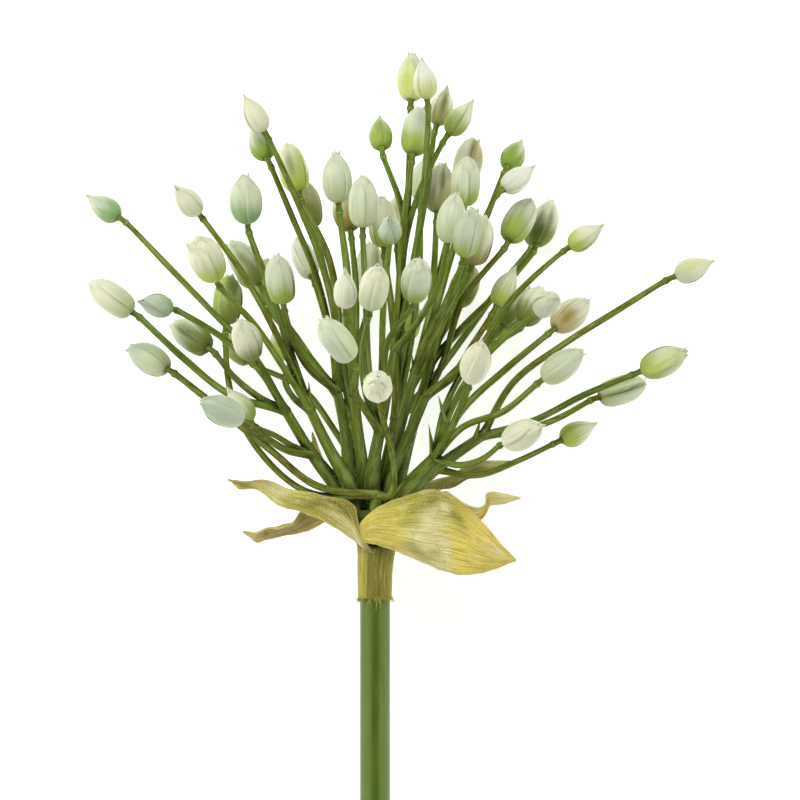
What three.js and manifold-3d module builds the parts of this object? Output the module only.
// Allium flower head on a length of its stem, laid down on its back.
//
// The head is worked out in a frame of its own, in millimetres: u to the right, v up the stem and
// w towards the viewer, with u = v = w = 0 on the stem's axis where the sprays of stalks spread.
// It is then leaned back until the stem's cut end and two buds at the back touch the ground.

import * as THREE from 'three';
import * as BufferGeometryUtils from 'three/addons/utils/BufferGeometryUtils.js';
import Module from 'manifold-3d';

const wasm = await Module();
wasm.setup();

// Driving dimensions
const GAP = 0.3; // clearance between two pieces that seat in each other
const STEM_RADIUS = 3.0;
const STEM_NECK_RADIUS = 2.6; // the stem draws in where the sheath wraps it
const STEM_END = -74; // v of the cut end
const CUT_BEVEL = 0.3;
const STEM_SIDES = 24;
const SEAT_RADIUS = 6.2; // flat head of the stem that carries the sprays
const SEAT_TOP = -4.0;
const SEAT_RIM = -5.4;
const NECK_TOP = -11.4;
const NECK_BOTTOM = -21.7;

const OUTER_ROOTS = 5.0; // radius of the outer ring of spray roots
const INNER_ROOTS = 2.3;
const PEG_RADIUS = 0.8;
const PEG_DEPTH = 2.9;
const PEG_SIDES = 7;
const TRUNK_ROOT_RADIUS = 1.2;
const TRUNK_RADIUS = 1.3;
const TRUNK_TIP_RADIUS = 0.95;
const TRUNK_SIDES = 7;

const STALK_RADIUS = 0.72;
const NECK_RADIUS = 0.58; // the stalk narrows just under its bud
const NECK_LENGTH = 1.6;
const STALK_STEP = 13; // length of one straight stretch of a stalk
const LEAST_STRETCHES = 3;
const STALK_CLEARANCE = 0.45; // least space between a stalk and what it passes
const ROOT_STRAIGHT = 0.9; // a root rises straight out of its hole this far
const FORK_CAP = 1; // a trunk's rounded end past its last fork
const SPIKE_RADIUS = 0.7;
const SPIKE_TIP_RADIUS = 0.25;
const SPIKE_SIDES = 5;

const BUD_LENGTH = { plump: 10.2, slim: 8.6, open: 10.4 };
const BUD_RADIUS = { plump: 3.1, slim: 2.5, open: 3.7 };
const BUD_SIDES = 6; // a ridge for each of three tepals, and the furrows between them
const BUD_BODY = [0.25, 0.72]; // the share of a bud's length that the stalks keep clear of
const GOLDEN_ANGLE = Math.PI * (3 - Math.sqrt(5)); // turn from one bud to the next

const SHEATH_INNER_RADIUS = 2.9;
const SHEATH_BOTTOM = -21.7;
const SHEATH_TOP = -11.6;
const VALVE_THICKNESS = 0.75;
const VALVE_COLUMNS = 9;
const VALVE_ROWS = 5;
const VALVE_BLUNTNESS = 0.12; // how far a valve's two edges stop short of its tip

// Sprays
//
// Each spray has a root at an angle round the stem's head (0 is to the right, 90 to the viewer), a
// trunk through a few points, and buds. A bud has its kind, the trunk point that its stalk leaves
// (0 is the first one), the points (u, v) that the stalk passes, and its base and tip (u, v) with
// the base's w. A point's w is given where it matters, and is spread evenly along the stalk
// elsewhere. A bud that looks shorter than its kind is leans to the back where its w is under 0,
// and to the viewer elsewhere.
const SPRAYS = [
  {
    name: 'spray_low',
    ring: OUTER_ROOTS,
    angle: 88,
    trunk: [[0.4, -1.0, 6.2]],
    buds: [
      [
        'plump', 0, [[-5, 0.2, 7.4], [-8.6, -0.1, 7], [-16, 3.4], [-22.6, 9.6], [-34, 18.4]],
        [-41.6, 24.2], [-49.4, 28.8], -2,
      ],
      [
        'plump', 0, [[-5, -1.5, 7.4], [-9.8, -1.6, 6], [-16, 1.2], [-22.8, 7.4], [-27.4, 13], [-29.4, 24]],
        [-30, 33.4], [-29.2, 43.2], -14,
      ],
      ['plump', 0, [[3, -0.6], [4.2, 3], [3.4, 8], [1.4, 13]], [0.6, 19.6], [0.6, 22], 42],
    ],
  },
  {
    name: 'spray_left',
    ring: OUTER_ROOTS,
    angle: 178,
    trunk: [[-7.6, 0.8, 1], [-12.4, 7, 3], [-17.8, 15.8, 4]],
    buds: [
      ['plump', 1, [[-16, 7.4], [-20, 9.4]], [-26.4, 14], [-34.4, 18.2], 22],
      ['slim', 1, [[-15, 8], [-20.4, 11.2]], [-24.8, 14], [-29.4, 20.6], 10],
      ['plump', 2, [[-21.6, 15.8], [-31, 20.4]], [-48.6, 35.6], [-57, 41.4], 2],
      ['plump', 2, [[-22.6, 18.2], [-27, 21.4]], [-33.4, 28.4], [-40.6, 33.4], -1],
      ['slim', 2, [[-21, 21.6], [-29, 29.4]], [-40.8, 36.2], [-47.2, 37.8], 10],
      ['plump', 2, [[-21.8, 22.4]], [-24.2, 26.6], [-26.8, 34], 19],
      ['slim', 2, [[-22.6, 24.8], [-30.6, 33.6]], [-51.4, 54.6], [-58.1, 59.1], -4],
    ],
  },
  {
    name: 'spray_left_upper',
    ring: OUTER_ROOTS,
    angle: 143,
    trunk: [[-5.4, 1.6, 3.6], [-9, 8, 5], [-12.8, 15.8, 6]],
    buds: [
      ['slim', 2, [[-15.4, 21], [-18.6, 29], [-25, 41], [-28.6, 47]], [-35.2, 55.2], [-39.9, 60.8], 12],
      ['plump', 2, [[-14.6, 22], [-18.4, 32], [-22.6, 45.6]], [-25.4, 53.4], [-26.3, 63.1], 5],
      ['open', 2, [[-17, 22.6], [-22.6, 31], [-27, 37]], [-31.6, 42], [-35.4, 50.4], 15],
      ['slim', 2, [[-16.4, 18.6], [-18.2, 22.8]], [-17.6, 26.8], [-20.8, 32.2], -12],
    ],
    spikes: [[[-13, 17, 6], [-13.2, 21.8, 6.6]]],
  },
  {
    name: 'spray_left_inner',
    ring: OUTER_ROOTS,
    angle: 214,
    trunk: [[-4.8, 2.4, -2.8], [-6, 12, -2.4], [-7.6, 19.8, -2]],
    buds: [
      ['plump', 2, [[-12.6, 23.6], [-15, 26.8], [-17.4, 33]], [-18.2, 37.4], [-19.4, 46.8], 14],
      ['plump', 2, [[-9.4, 23.8], [-13.8, 26.8], [-18, 32], [-21, 38]], [-23.4, 41.4], [-29.2, 49.8], -9],
      ['slim', 2, [[-8, 26], [-11.4, 42], [-15, 50.8], [-19, 60.8]], [-21.6, 66.4], [-24.8, 73.2], -1.5],
      ['slim', 2, [[-7.4, 28], [-9.4, 40], [-13, 52], [-17.4, 61.6]], [-22.2, 71.8], [-26.5, 79.1], 1],
      ['plump', 2, [[-7.2, 30], [-7.8, 42], [-10, 48]], [-15.4, 60], [-17.8, 69.7], -16],
    ],
  },
  {
    name: 'spray_mid_left',
    ring: INNER_ROOTS,
    angle: 172,
    trunk: [[-2.4, 3, 0.4], [-4.2, 19, 1]],
    buds: [
      ['plump', 1, [[-5, 36], [-6, 48]], [-7.3, 57.6], [-8, 67.6], 4],
      ['plump', 1, [[-3.8, 40], [-4.6, 48]], [-5, 52.2], [-6.4, 61.6], -12],
      ['slim', 1, [[-5.4, 30]], [-5.8, 36.4], [-5.8, 44.2], 27],
    ],
  },
  {
    name: 'spray_front',
    ring: INNER_ROOTS,
    angle: 100,
    trunk: [[-0.6, 1.4, 3.6], [0.8, 12, 8.6]],
    buds: [
      ['plump', 1, [[-1.6, 15.6], [-4, 19]], [-4.6, 26], [-10.4, 34], 37],
      ['plump', 1, [[-2.4, 22], [-2.2, 30]], [-0.8, 36.4], [0.6, 44.2], 34],
      ['plump', 1, [[-1.4, 26], [-1.8, 38], [-2.2, 46]], [-2.4, 52.5], [-2.2, 62.6], 12],
      ['slim', 1, [[1.4, 26], [1.8, 38]], [3, 50], [3, 54], 31],
      ['plump', 1, [[1.8, 22], [3, 30.8], [6, 35]], [7.8, 38], [8.6, 45.6], 31],
    ],
  },
  {
    name: 'spray_right_inner',
    ring: INNER_ROOTS,
    angle: 28,
    trunk: [[2.8, 2, 1.4], [6, 9, 2], [10, 18.6, 3]],
    buds: [
      ['slim', 2, [[14.6, 25.2], [20, 31.6]], [24.4, 37], [28.4, 45], -5],
      ['slim', 2, [[15, 23.4], [22.4, 32.6], [28.4, 39.6]], [39, 48.6], [45.9, 53.1], 6],
      ['plump', 2, [[12.2, 21], [16.4, 24.4], [21, 28.6]], [25.8, 32.8], [31.8, 40.2], -19],
    ],
  },
  {
    name: 'spray_right_front',
    ring: OUTER_ROOTS,
    angle: 36,
    trunk: [[6.2, 0.4, 4], [11.8, 6.6, 6.6]],
    buds: [
      ['plump', 1, [[14.4, 5.8], [17, 5], [22, 6.6]], [26, 9.6], [33, 13], 23],
      ['plump', 1, [[14.4, 12], [17.4, 16.8]], [19.3, 21.4], [21.2, 29.4], 36],
      ['plump', 1, [[19, 17.4], [26.4, 24.6]], [36, 32.4], [42.8, 38.3], -2],
      ['plump', 1, [[13.6, 15.6], [17, 22], [24.4, 29.4]], [32.6, 35.8], [36.2, 38.4], 17],
      ['plump', 1, [[12.6, 16.4], [15.6, 22.6], [21.6, 28]], [29.8, 33.6], [33.6, 40.8], -7],
      ['plump', 1, [[16, 12], [21.4, 14], [29, 18.4]], [33.6, 22.2], [41.4, 28], 13],
    ],
    spikes: [[[12, 7, 6.8], [13.4, 11.6, 9]]],
  },
  {
    name: 'spray_right',
    ring: OUTER_ROOTS,
    angle: 0,
    trunk: [[6.4, -0.6, 0], [12, 4.2, 0.4], [21.4, 10.8, 1]],
    buds: [
      ['slim', 2, [[23.8, 16.6], [29, 22.8], [38.4, 29.6], [49, 36.2]], [60.2, 42.8], [68.1, 46.1], 0],
      ['plump', 2, [[34, 14.8], [44, 20.2]], [53.2, 23.8], [62.4, 27.6], 8],
      ['plump', 2, [[33.4, 12.8], [40.4, 16.6]], [45, 18.6], [54.2, 21.6], -2],
      ['slim', 1, [[21.4, 3], [27.2, 5.2]], [37.4, 10], [44.7, 13.5], -4],
    ],
    spikes: [[[20, 10, 1], [21.2, 14.6, 2.4]]],
  },
  {
    name: 'spray_top',
    ring: INNER_ROOTS,
    angle: 244,
    trunk: [[-0.6, 3, -2.4], [1.4, 14, -3], [4, 28, -3]],
    buds: [
      ['plump', 2, [[6, 46], [7, 62]], [7.2, 78.2], [7.7, 87.8], -8],
      ['slim', 2, [[8.4, 50], [10.2, 66]], [10.4, 78.2], [9.4, 86.6], 5],
      ['plump', 2, [[5.8, 54], [7, 62.4]], [7.6, 67.2], [9.2, 76.6], -0.5],
      ['slim', 2, [[8, 48], [11, 64]], [12.4, 73.4], [14.7, 81.5], -13],
      ['slim', 2, [[6, 50], [9.4, 61], [12.6, 67.6]], [14.8, 71.4], [19.9, 78.5], -7],
      ['slim', 2, [[5, 44], [5.6, 56], [3.4, 64.4]], [1.4, 68.4], [0.7, 75.3], -2],
      ['plump', 2, [[7.8, 32.4], [11, 38], [13.6, 43.6]], [14.5, 49.4], [16, 59.3], 13],
    ],
  },
  {
    name: 'spray_mid_right',
    ring: INNER_ROOTS,
    angle: 316,
    trunk: [[2.6, 3, -1.6], [4.4, 13, -0.6], [6.6, 24, 0.4]],
    buds: [
      ['plump', 2, [[10, 40], [15, 54]], [17.6, 61.2], [20, 70.8], -19],
      ['plump', 2, [[10.4, 38], [15.4, 51]], [17.8, 57], [18.4, 66.5], 3],
      ['plump', 2, [[8.6, 36], [11.2, 47]], [12.5, 55.8], [13.6, 65.6], -12],
      ['plump', 2, [[10, 32], [14.6, 39]], [17.6, 46.5], [19.6, 56], 23],
      ['plump', 2, [[11, 34]], [19.4, 45.2], [21.8, 54.8], 2],
    ],
    spikes: [[[6.4, 22.6, 0.4], [6, 27.4, 2.2]]],
  },
  {
    name: 'spray_right_upper',
    ring: OUTER_ROOTS,
    angle: 325,
    trunk: [[4.8, 2, -3.4], [7.6, 13, -4.6], [11.4, 26, -6]],
    buds: [
      ['slim', 2, [[16.6, 41], [22.2, 54], [25.2, 61.6]], [26.6, 64.8], [29.9, 70.5], -14],
      ['slim', 2, [[16, 40], [21, 52]], [25.8, 60.2], [32.4, 65.2], -4],
      ['plump', 2, [[15, 31.6], [17.4, 36.6], [22.4, 45]], [26.8, 50], [31.2, 58.4], -8],
      ['plump', 2, [[19, 34], [28, 43]], [32.4, 49.4], [35.6, 58.5], -17],
    ],
  },
  {
    name: 'spray_back_left',
    ring: OUTER_ROOTS,
    angle: 251,
    trunk: [[-2.2, 2, -5.8], [-4.4, 14, -11]],
    buds: [
      ['plump', 1, [[-7.4, 32]], [-12.4, 53.2], [-14.4, 62.2], -24],
      ['plump', 1, [[-8, 28]], [-12.8, 43], [-16.2, 50.7], -27],
      ['plump', 1, [[-3.4, 28]], [-0.8, 40.4], [-1, 50], -31],
      ['plump', 1, [[-11, 24]], [-21.4, 37.6], [-22, 46.4], -23],
      ['plump', 1, [[-10, 22], [-17, 32]], [-24.4, 41.6], [-27.4, 48], -34.46],
      ['plump', 1, [[-9, 18], [-17, 21.6]], [-25.6, 26], [-30.8, 31], -22],
    ],
  },
  {
    name: 'spray_back_right',
    ring: OUTER_ROOTS,
    angle: 288,
    trunk: [[2, 2, -5.8], [4, 14, -10]],
    buds: [
      ['plump', 1, [[4, 30], [2.8, 40]], [1.8, 48.8], [1.2, 59], -17],
      ['plump', 1, [[5.6, 32]], [4.4, 50], [4.2, 58.8], -25],
      ['plump', 1, [[9.4, 24]], [16.8, 37.6], [19.4, 45.2], -29],
      ['plump', 1, [[13, 24], [23, 38]], [32.2, 50.2], [34.4, 56.4], -37],
      ['plump', 1, [[12, 20]], [24, 32], [28, 36.6], -26],
      ['plump', 1, [[7.4, 32], [9, 48]], [9.4, 58.6], [10.6, 67], -29],
      ['plump', 1, [[4.6, 22]], [6.6, 31], [7.4, 37.4], -27],
    ],
  },
];

// Valves of the papery sheath under the head. Each has its lower edge, middle and upper edge, from
// the sheath out to the tip, through points (u, v, w).
const VALVES = [
  {
    lower: [[-3.35, -12.8, 0.4], [-6.4, -8.6, 2.6], [-13, -4.2, 4], [-18.6, -2.8, 4], [-27, 0.5, 3.4]],
    middle: [[-2.4, -12.8, 2.5], [-5.6, -6.6, 5.4], [-11.5, -2.8, 6.4], [-17.6, -0.9, 5.8], [-26, 1.5, 4]],
    upper: [[-0.7, -12.8, 3.4], [-3.2, -6, 6.2], [-9, -2.2, 6.6], [-16.6, 0.2, 5.2], [-25.6, 2.2, 3.6]],
    tip: [-29.4, 2, 3],
  },
  {
    lower: [
      [2.6, -12.8, 2.2], [4, -11.9, 4], [10.5, -14.6, 6.4],
      [16, -16.4, 7.4], [21, -16.2, 7], [25.4, -15.1, 6.4],
    ],
    middle: [
      [1.2, -12.8, 3.2], [0.8, -9.2, 6.6], [6.4, -8, 9.6],
      [13, -8, 10.8], [19.4, -10, 9.8], [24.8, -12.8, 7.8],
    ],
    upper: [
      [-0.3, -12.8, 3.4], [-3.3, -6.8, 6.2], [2.4, -2.6, 8.4],
      [11, -0.1, 9.4], [18.6, -3.6, 8.8], [24.2, -10, 7.4],
    ],
    tip: [28.2, -14, 6],
  },
  {
    lower: [
      [-2.4, -12.8, -2.4], [-4.6, -8.2, -4.8], [-9, -6.4, -5.4],
      [-12.8, -8, -4], [-17, -8.9, -3], [-22.6, -10, -2],
    ],
    middle: [
      [-3.1, -12.8, -1.4], [-5.6, -7.4, -3.6], [-9.6, -4.6, -4.4],
      [-14, -5.6, -3], [-18, -8, -2], [-22.6, -8.8, -0.8],
    ],
    upper: [
      [-3.4, -12.8, -0.2], [-6.4, -7, -1.6], [-9.4, -3, -2.6],
      [-14.2, -3.2, -1], [-18, -6.9, 0.2], [-22, -7.3, 0.6],
    ],
    tip: [-26.6, -8.2, 0.5],
  },
  {
    lower: [
      [2.8, -12.8, -1.9], [5.4, -9, -3], [10, -6.8, -2.6],
      [17, -6.2, -1], [21.6, -5, 0.6], [25.4, -2.7, 1.4],
    ],
    middle: [
      [3.3, -12.8, -0.7], [6.2, -8, -1], [10.8, -4.8, -1.2],
      [17, -3.9, 0.2], [22, -2.6, 1.4], [25.8, -1.6, 2.2],
    ],
    upper: [
      [3.35, -12.8, 0.6], [6.2, -7.8, 1.2], [10.8, -3.4, 1],
      [17, -1.8, 1.4], [22.2, -0.6, 2], [26, -0.5, 2],
    ],
    tip: [29.2, -1.6, 2],
  },
  {
    lower: [
      [0.6, -12.8, -3.4], [2.4, -7.6, -6.8], [6, -4, -8.4],
      [11, -1, -9.2], [16, 1.6, -9], [21, 3.8, -8.8],
    ],
    middle: [
      [1.5, -12.8, -3.1], [3.8, -7.2, -6.3], [7.2, -3, -8],
      [11.5, 0, -9], [17, 3.2, -9], [21.4, 4.7, -8.8],
    ],
    upper: [
      [2.2, -12.8, -2.6], [5, -7, -5.4], [8, -2, -7],
      [11.8, 0.9, -8], [18, 4.6, -8.2], [21.6, 5.5, -8],
    ],
    tip: [27, 6, -8.4],
  },
  {
    lower: [[-1.9, -12.8, -2.8], [-4.4, -7, -6], [-8.4, -0.6, -9], [-11.2, 4, -10], [-12.5, 8.6, -10.4]],
    middle: [
      [-1.2, -12.8, -3.2], [-3.4, -7, -6.8], [-7.2, -0.4, -9.8],
      [-10.4, 3.9, -10.8], [-11.9, 8.4, -11],
    ],
    upper: [[-0.4, -12.8, -3.4], [-2.2, -6.8, -7.2], [-6, -0.2, -10], [-9.4, 3.8, -11], [-11.2, 8.2, -11]],
    tip: [-12.6, 11.6, -10.6],
  },
];

const COLOURS = {
  stem: { color: 0x4f7a35, roughness: 0.42 },
  spathe: { color: 0xb4ad4a, roughness: 0.75 },
  spray: { color: 0x8fa56a, roughness: 0.48 },
};

// Solids

/** Turns a geometry into a solid: merges its shared corners and drops its empty triangles. */
function toSolid(geometry) {
  const SAME_PLACE = 1e-4;
  geometry.deleteAttribute('normal');
  geometry.deleteAttribute('uv');
  const merged = BufferGeometryUtils.mergeVertices(geometry, SAME_PLACE);
  const position = merged.getAttribute('position');
  const index = merged.getIndex().array;
  const triangles = [];
  for (let i = 0; i < index.length; i += 3) {
    const [a, b, c] = [index[i], index[i + 1], index[i + 2]];
    if (a !== b && b !== c && c !== a) triangles.push(a, b, c);
  }
  if (signedVolume(position, triangles) < 0) triangles.reverse();
  const mesh = new wasm.Mesh({
    numProp: 3,
    vertProperties: Float32Array.from(position.array),
    triVerts: Uint32Array.from(triangles),
  });
  return new wasm.Manifold(mesh);
}

function signedVolume(position, triangles) {
  const corners = [new THREE.Vector3(), new THREE.Vector3(), new THREE.Vector3()];
  let volume = 0;
  for (let i = 0; i < triangles.length; i += 3) {
    corners.forEach((corner, k) => corner.fromBufferAttribute(position, triangles[i + k]));
    volume += corners[0].dot(corners[1].clone().cross(corners[2])) / 6;
  }
  return volume;
}

function toGeometry(solid) {
  const mesh = solid.getMesh();
  const geometry = new THREE.BufferGeometry();
  geometry.setAttribute('position', new THREE.Float32BufferAttribute(mesh.vertProperties, 3));
  geometry.setIndex(Array.from(mesh.triVerts));
  return geometry;
}

function join(solids) {
  return solids.reduce((sum, solid) => sum.add(solid));
}

const point = (values) => new THREE.Vector3(...values);
const lerp = THREE.MathUtils.lerp;

/**
 * A lathed rod bent along a line. Each row has its centre, its radius and, for a bud, a shape that
 * gives the radius and the shift along the axis of each side. The first and last rows are points.
 */
function bentLathe(rows, sides, turn = 0) {
  const profile = rows.map((row, k) => new THREE.Vector2(row.radius, k));
  const geometry = new THREE.LatheGeometry(profile, sides);
  const frames = framesAlong(rows.map((row) => row.centre));
  const position = geometry.getAttribute('position');
  const count = rows.length;
  for (let i = 0; i < position.count; i++) {
    const k = i % count;
    const side = Math.floor(i / count) % sides;
    const angle = (side / sides) * Math.PI * 2 + turn;
    const row = rows[k];
    const shape = row.shape ? row.shape(side) : { scale: 1, shift: 0 };
    const radius = row.radius * shape.scale;
    const place = row.centre.clone()
      .addScaledVector(frames[k].normal, radius * Math.sin(angle))
      .addScaledVector(frames[k].binormal, radius * Math.cos(angle))
      .addScaledVector(frames[k].tangent, shape.shift);
    position.setXYZ(i, place.x, place.y, place.z);
  }
  return toSolid(geometry);
}

/** Frames that turn as little as possible along a line of points, some of which may coincide. */
function framesAlong(centres) {
  const SAME_PLACE = 1e-3;
  const last = centres.length - 1;
  const tangents = centres.map((centre, k) => {
    let before = k;
    let after = k;
    while (before > 0 && centres[before].distanceTo(centre) < SAME_PLACE) before--;
    while (after < last && centres[after].distanceTo(centre) < SAME_PLACE) after++;
    const back = centre.clone().sub(centres[before]);
    const ahead = centres[after].clone().sub(centre);
    if (back.length() < SAME_PLACE) return ahead.normalize();
    if (ahead.length() < SAME_PLACE) return back.normalize();
    return back.normalize().add(ahead.normalize()).normalize();
  });
  let normal = new THREE.Vector3(0, 0, 1).cross(tangents[0]);
  if (normal.length() < 0.1) normal = new THREE.Vector3(1, 0, 0);
  return tangents.map((tangent) => {
    normal = normal.clone().addScaledVector(tangent, -normal.dot(tangent)).normalize();
    return { tangent, normal, binormal: normal.clone().cross(tangent) };
  });
}

// Routes of the stalks

/** Spreads points evenly along a smooth line through the given ones. */
function spread(through) {
  const curve = new THREE.CatmullRomCurve3(through, false, 'centripetal');
  const count = Math.max(LEAST_STRETCHES, Math.round(curve.getLength() / STALK_STEP));
  return curve.getSpacedPoints(count);
}

/** The places of one bud: its base, its tip and its axis. */
function budPlace([kind, , , base, tip, w]) {
  const across = Math.hypot(tip[0] - base[0], tip[1] - base[1]);
  const length = Math.max(BUD_LENGTH[kind], across);
  const lean = Math.sqrt(length ** 2 - across ** 2) * (w < 0 ? -1 : 1);
  const from = point([...base, w]);
  const to = point([...tip, w + lean]);
  return { kind, length, base: from, tip: to, axis: to.clone().sub(from).normalize() };
}

/** Lays out one spray: its trunk, and a stalk and a bud for each of its rows. */
function layOut(spray, number) {
  const TURNS_APART = 7; // most buds that a spray has, so that no two buds turn alike
  const angle = THREE.MathUtils.degToRad(spray.angle);
  const root = [spray.ring * Math.cos(angle), spray.ring * Math.sin(angle)];
  const foot = point([root[0], SEAT_TOP + GAP, root[1]]);
  const straight = point([root[0], SEAT_TOP + GAP + ROOT_STRAIGHT, root[1]]);
  const trunkPoints = spray.trunk.map(point);
  const trunk = [foot, straight];
  let previous = straight;
  for (const next of trunkPoints) {
    if (next.distanceTo(previous) > STALK_STEP) trunk.push(previous.clone().lerp(next, 0.5));
    trunk.push(next);
    previous = next;
  }
  const buds = spray.buds.map((row, k) => {
    const place = budPlace(row);
    const start = trunkPoints[row[1]];
    const flat = [...row[2], [place.base.x, place.base.y]];
    const steps = flat.map(([u, v], i) => {
      const [a, b] = i ? flat[i - 1] : [start.x, start.y];
      return Math.hypot(u - a, v - b);
    });
    let left = steps.reduce((sum, length) => sum + length, 0);
    let depth = start.z;
    const via = row[2].map(([u, v, given], i) => {
      depth = given ?? lerp(depth, place.base.z, steps[i] / left);
      left -= steps[i];
      return point([u, v, depth]);
    });
    const neck = place.base.clone().addScaledVector(place.axis, -NECK_LENGTH);
    const kept = via.filter((p) => p.distanceTo(neck) > NECK_LENGTH);
    const stalk = [...spread([start, ...kept, neck]), place.base];
    return { ...place, stalk, turn: GOLDEN_ANGLE * (k + TURNS_APART * number) };
  });
  return { ...spray, root, trunk, buds };
}

/** Every trunk, stalk and bud as a chain of capsules. free(k) says which of its points may move. */
function chainsOf(sprays) {
  const chains = [];
  sprays.forEach((spray, owner) => {
    const fork = spray.trunk.length - 1;
    const trunk = { points: spray.trunk, radius: TRUNK_RADIUS, free: (k) => k > 1 && k < fork };
    chains.push({ ...trunk, owner, kind: 'trunk' });
    for (const bud of spray.buds) {
      const last = bud.stalk.length - 1;
      const stalk = { points: bud.stalk, radius: STALK_RADIUS, free: (k) => k > 0 && k < last - 1 };
      chains.push({ ...stalk, owner, bud, kind: 'stalk' });
      const body = BUD_BODY.map((along) => bud.base.clone().lerp(bud.tip, along));
      chains.push({ points: body, radius: BUD_RADIUS[bud.kind], free: () => false, owner, bud, kind: 'bud' });
    }
  });
  return chains;
}

/** The pairs of stretches that have to keep clear of each other. */
function pairsOf(chains) {
  const stretches = chains.flatMap((chain) => chain.points.slice(1).map((_, k) => ({ chain, k })));
  const pairs = [];
  stretches.forEach((a, i) => {
    for (const b of stretches.slice(i + 1)) {
      const together = a.chain === b.chain || (a.chain.bud && a.chain.bud === b.chain.bud);
      const buds = [a, b].filter(({ chain }) => chain.kind === 'bud').length;
      const sameSpray = a.chain.owner === b.chain.owner;
      const forking = buds === 0 && sameSpray && (a.k === 0 || b.k === 0 || a.chain.kind !== b.chain.kind);
      if (!together && buds < 2 && !forking) pairs.push([a, b]);
    }
  });
  return pairs;
}

/**
 * Bends stalks clear of each other and of the buds. In each round, two chains that come too close
 * push each other apart, mostly in depth, and each stalk spreads its own shifts evenly. Roots,
 * forks and buds stay where they are.
 */
function bendClear(sprays) {
  const ROUNDS = 160;
  const SIDEWAYS = 0.35; // how much of a push goes across the view rather than along it
  const DEPTH_PUSH = 0.2; // and what is added along it, for two that meet head on
  const SPREADING = 0.12; // how far a shift goes to the mean of its neighbours in a round
  const chains = chainsOf(sprays);
  const pairs = pairsOf(chains);
  for (const chain of chains) {
    chain.home = chain.points.map((p) => p.clone());
    chain.shift = chain.points.map(() => new THREE.Vector3());
  }
  for (let round = 0; round < ROUNDS; round++) {
    const pushes = new Map();
    for (const [a, b] of pairs) {
      const near = closest(...stretchOf(a), ...stretchOf(b));
      const lack = a.chain.radius + b.chain.radius + STALK_CLEARANCE - near.distance;
      if (lack <= 0) continue;
      const away = near.offset.clone();
      away.x *= SIDEWAYS;
      away.y *= SIDEWAYS;
      away.z += (away.z >= 0 ? 1 : -1) * DEPTH_PUSH;
      away.normalize();
      nudge(pushes, a, near.s, away.clone().multiplyScalar(lack / 2));
      nudge(pushes, b, near.t, away.multiplyScalar(-lack / 2));
    }
    for (const [chain, sums] of pushes) {
      sums.forEach((sum, k) => {
        if (chain.free(k)) chain.shift[k].add(sum);
      });
    }
    for (const chain of chains) {
      const before = chain.shift.map((s) => s.clone());
      chain.shift.forEach((shift, k) => {
        if (!chain.free(k)) return;
        const mean = before[k - 1].clone().add(before[k + 1]).multiplyScalar(0.5);
        shift.lerp(mean, SPREADING);
        chain.points[k].copy(chain.home[k]).add(shift);
      });
    }
  }
}

function stretchOf({ chain, k }) {
  return [chain.points[k], chain.points[k + 1]];
}

function nudge(pushes, { chain, k }, along, push) {
  if (!pushes.has(chain)) pushes.set(chain, chain.points.map(() => new THREE.Vector3()));
  const sums = pushes.get(chain);
  sums[k].addScaledVector(push, 1 - along);
  sums[k + 1].addScaledVector(push, along);
}

/** Closest points of two straight stretches, with the way from the second to the first. */
function closest(a0, a1, b0, b1) {
  const d1 = a1.clone().sub(a0);
  const d2 = b1.clone().sub(b0);
  const r = a0.clone().sub(b0);
  const a = d1.dot(d1);
  const e = d2.dot(d2);
  const f = d2.dot(r);
  const c = d1.dot(r);
  const b = d1.dot(d2);
  const clamp = THREE.MathUtils.clamp;
  const denominator = a * e - b * b;
  let s = denominator > 1e-9 ? clamp((b * f - c * e) / denominator, 0, 1) : 0.5;
  let t = clamp((b * s + f) / e, 0, 1);
  s = clamp((b * t - c) / a, 0, 1);
  t = clamp((b * s + f) / e, 0, 1);
  const offset = r.addScaledVector(d1, s).addScaledVector(d2, -t);
  return { s, t, offset, distance: offset.length() };
}

// Pieces

/**
 * Rows of a bud, each a share of its length and of its radius. A slim bud draws to a point. On the
 * others the three outer tepals end in tips of their own, past the furrows between them, round a
 * sunken middle.
 */
function budRows({ kind, base, axis, length }) {
  const radius = BUD_RADIUS[kind];
  const at = (along) => base.clone().addScaledVector(axis, along * length);
  const row = (along, share, shape) => ({ centre: at(along), radius: radius * share, shape });
  const isFurrow = (side) => side % 2 === 0;
  if (kind === 'slim') {
    const ridged = (side) => ({ scale: isFurrow(side) ? 1 : 0.9, shift: 0 });
    const profile = [[0.02, 0.45], [0.2, 0.93], [0.45, 1], [0.72, 0.58]];
    const rows = profile.map(([along, share]) => row(along, share, ridged));
    return [...rows, row(1, 0)];
  }
  const mouth = kind === 'open' ? 0.72 : 0.4;
  const ridged = (side) => ({ scale: isFurrow(side) ? 0.9 : 1.02, shift: 0 });
  const tipped = (side) => ({ ...ridged(side), shift: (isFurrow(side) ? -0.07 : 0.06) * length });
  const profile = [[0.02, 0.45], [0.17, 0.88], [0.4, 1.02], [0.68, 0.88]];
  const rows = profile.map(([along, share]) => row(along, share, ridged));
  return [...rows, row(0.93, mouth, tipped), row(0.86, 0)];
}

function stalkAndBud(bud) {
  const last = bud.stalk.length - 1;
  const rows = [{ centre: bud.stalk[0], radius: 0 }];
  bud.stalk.forEach((centre, k) => {
    const radius = k === last ? NECK_RADIUS : STALK_RADIUS;
    rows.push({ centre, radius });
  });
  return bentLathe([...rows, ...budRows(bud)], BUD_SIDES, bud.turn);
}

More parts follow.
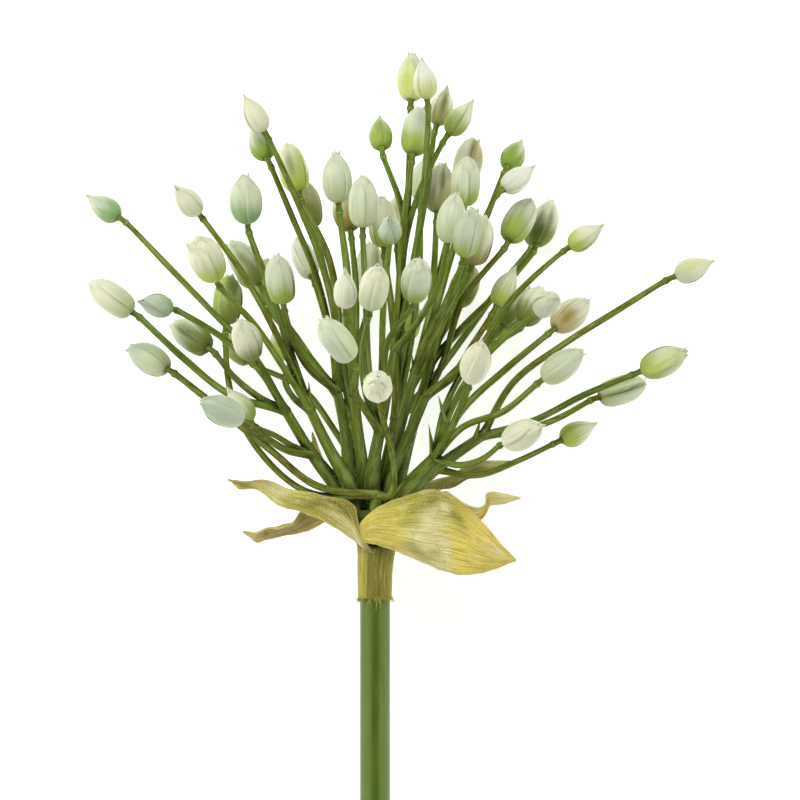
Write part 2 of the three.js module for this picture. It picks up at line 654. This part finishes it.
function trunkSolid({ root, trunk }) {
  const peg = point([root[0], SEAT_TOP - PEG_DEPTH, root[1]]);
  const last = trunk.length - 1;
  const rows = [
    { centre: peg, radius: 0 },
    { centre: peg, radius: PEG_RADIUS },
    { centre: trunk[0], radius: PEG_RADIUS },
    { centre: trunk[0], radius: TRUNK_ROOT_RADIUS },
    { centre: trunk[1], radius: TRUNK_ROOT_RADIUS },
  ];
  trunk.slice(2).forEach((centre, k) => {
    rows.push({ centre, radius: lerp(TRUNK_RADIUS, TRUNK_TIP_RADIUS, (k + 2) / last) });
  });
  const along = trunk[last].clone().sub(trunk[last - 1]).normalize();
  rows.push({ centre: trunk[last].clone().addScaledVector(along, FORK_CAP), radius: 0 });
  return bentLathe(rows, TRUNK_SIDES);
}

function spikeSolid([from, to]) {
  const rows = [
    { centre: point(from), radius: 0 },
    { centre: point(from), radius: SPIKE_RADIUS },
    { centre: point(to), radius: SPIKE_TIP_RADIUS },
    { centre: point(to), radius: 0 },
  ];
  return bentLathe(rows, SPIKE_SIDES);
}

function spraySolid(spray) {
  const stalks = spray.buds.map(stalkAndBud);
  const spikes = (spray.spikes ?? []).map(spikeSolid);
  return join([trunkSolid(spray), ...stalks, ...spikes]);
}

/** The stem, with a flat head that has a plain hole for the peg of each spray. */
function stemSolid(sprays) {
  const OVERSHOOT = 1; // of a hole past the face it is cut in
  const profile = [
    [STEM_RADIUS - CUT_BEVEL, STEM_END], [STEM_RADIUS, STEM_END + CUT_BEVEL],
    [STEM_RADIUS, NECK_BOTTOM], [STEM_NECK_RADIUS, NECK_BOTTOM], [STEM_NECK_RADIUS, NECK_TOP],
    [3.9, -8.9], [SEAT_RADIUS - 0.5, SEAT_RIM - 0.7], [SEAT_RADIUS, SEAT_RIM],
    [SEAT_RADIUS - 0.2, SEAT_TOP], [0, SEAT_TOP],
  ];
  const rows = [{ centre: point([0, STEM_END, 0]), radius: 0 }];
  for (const [radius, v] of profile) rows.push({ centre: point([0, v, 0]), radius });
  let solid = bentLathe(rows, STEM_SIDES);
  for (const { root } of sprays) {
    const [u, w] = root;
    const bottom = point([u, SEAT_TOP - PEG_DEPTH - GAP, w]);
    const top = point([u, SEAT_TOP + OVERSHOOT, w]);
    const radius = PEG_RADIUS + GAP;
    const hole = [
      { centre: bottom, radius: 0 },
      { centre: bottom, radius },
      { centre: top, radius },
      { centre: top, radius: 0 },
    ];
    solid = solid.subtract(bentLathe(hole, PEG_SIDES));
  }
  return solid;
}

/** The closed wrap of the sheath round the stem. */
function sheathSolid() {
  const outline = [
    [SHEATH_INNER_RADIUS, SHEATH_BOTTOM], [3.4, SHEATH_BOTTOM], [3.5, -17], [3.85, SHEATH_TOP],
    [3.15, SHEATH_TOP], [SHEATH_INNER_RADIUS, -12.6], [SHEATH_INNER_RADIUS, SHEATH_BOTTOM],
  ].map(([radius, v]) => new THREE.Vector2(radius, v));
  return toSolid(new THREE.LatheGeometry(outline, STEM_SIDES));
}

/** One valve: a thin sheet through its three lines. */
function valveSolid({ lower, middle, upper, tip }) {
  const toTip = (line, bluntness) => {
    const points = line.map(point);
    const end = point(tip).lerp(points[points.length - 1], bluntness);
    return new THREE.CatmullRomCurve3([...points, end], false, 'centripetal');
  };
  const lines = [toTip(lower, VALVE_BLUNTNESS), toTip(middle, 0), toTip(upper, VALVE_BLUNTNESS)];
  const grid = [];
  for (let i = 0; i < VALVE_COLUMNS; i++) {
    const along = i / (VALVE_COLUMNS - 1);
    const [a, b, c] = lines.map((line) => line.getPoint(along));
    const column = [];
    for (let j = 0; j < VALVE_ROWS; j++) {
      const s = j / (VALVE_ROWS - 1);
      const place = new THREE.Vector3()
        .addScaledVector(a, 2 * (s - 0.5) * (s - 1))
        .addScaledVector(b, 4 * s * (1 - s))
        .addScaledVector(c, 2 * s * (s - 0.5));
      column.push(place);
    }
    grid.push(column);
  }
  return sheetSolid(grid, VALVE_THICKNESS);
}

/** A sheet of even thickness on a grid of points, with the same triangles on both faces. */
function sheetSolid(grid, thickness) {
  const columns = grid.length;
  const rows = grid[0].length;
  const positions = [];
  for (const side of [-0.5, 0.5]) {
    for (let i = 0; i < columns; i++) {
      for (let j = 0; j < rows; j++) {
        const along = grid[Math.min(i + 1, columns - 1)][j].clone().sub(grid[Math.max(i - 1, 0)][j]);
        const across = grid[i][Math.min(j + 1, rows - 1)].clone().sub(grid[i][Math.max(j - 1, 0)]);
        const normal = along.cross(across).normalize();
        const place = grid[i][j].clone().addScaledVector(normal, side * thickness);
        positions.push(place.x, place.y, place.z);
      }
    }
  }
  const half = columns * rows;
  const at = (i, j) => i * rows + j;
  const triangles = [];
  for (let i = 0; i + 1 < columns; i++) {
    for (let j = 0; j + 1 < rows; j++) {
      const [a, b, c, d] = [at(i, j), at(i + 1, j), at(i + 1, j + 1), at(i, j + 1)];
      triangles.push(a, b, c, a, c, d);
      triangles.push(half + a, half + c, half + b, half + a, half + d, half + c);
    }
  }
  const border = [];
  for (let i = 0; i < columns; i++) border.push(at(i, 0));
  for (let j = 1; j < rows; j++) border.push(at(columns - 1, j));
  for (let i = columns - 2; i >= 0; i--) border.push(at(i, rows - 1));
  for (let j = rows - 2; j > 0; j--) border.push(at(0, j));
  border.forEach((a, k) => {
    const b = border[(k + 1) % border.length];
    triangles.push(b, a, half + a, b, half + a, half + b);
  });
  const geometry = new THREE.BufferGeometry();
  geometry.setAttribute('position', new THREE.Float32BufferAttribute(positions, 3));
  geometry.setIndex(triangles);
  return toSolid(geometry);
}

function spatheSolid() {
  return join([sheathSolid(), ...VALVES.map(valveSolid)]);
}

// Assembly

const sprays = SPRAYS.map(layOut);
bendClear(sprays);

const head = new THREE.Group();

function place(name, solid, { color, roughness }) {
  const material = new THREE.MeshStandardMaterial({ color, roughness, metalness: 0 });
  const mesh = new THREE.Mesh(toGeometry(solid), material);
  mesh.name = name;
  head.add(mesh);
}

place('stem', stemSolid(sprays), COLOURS.stem);
place('spathe', spatheSolid(), COLOURS.spathe);
for (const spray of sprays) place(spray.name, spraySolid(spray), COLOURS.spray);

/** The lean at which the cut end of the stem and the lowest bud touch the ground together. */
function leanToGround() {
  const AMONG_BUDS = 60; // of the stem's cut end
  let steepest = 0;
  for (const mesh of head.children) {
    const position = mesh.geometry.getAttribute('position');
    for (let i = 0; i < position.count; i++) {
      const rise = position.getY(i) - STEM_END - CUT_BEVEL;
      const drop = -position.getZ(i) - STEM_RADIUS;
      if (rise > AMONG_BUDS) steepest = Math.max(steepest, drop / rise);
    }
  }
  return Math.atan(steepest);
}

head.rotation.x = leanToGround();
head.updateMatrixWorld(true);
const box = new THREE.Box3().setFromObject(head, true);
const middle = box.getCenter(new THREE.Vector3());
head.position.set(-middle.x, -middle.y, -box.min.z);

const group = new THREE.Group();
group.add(head);

export default group;
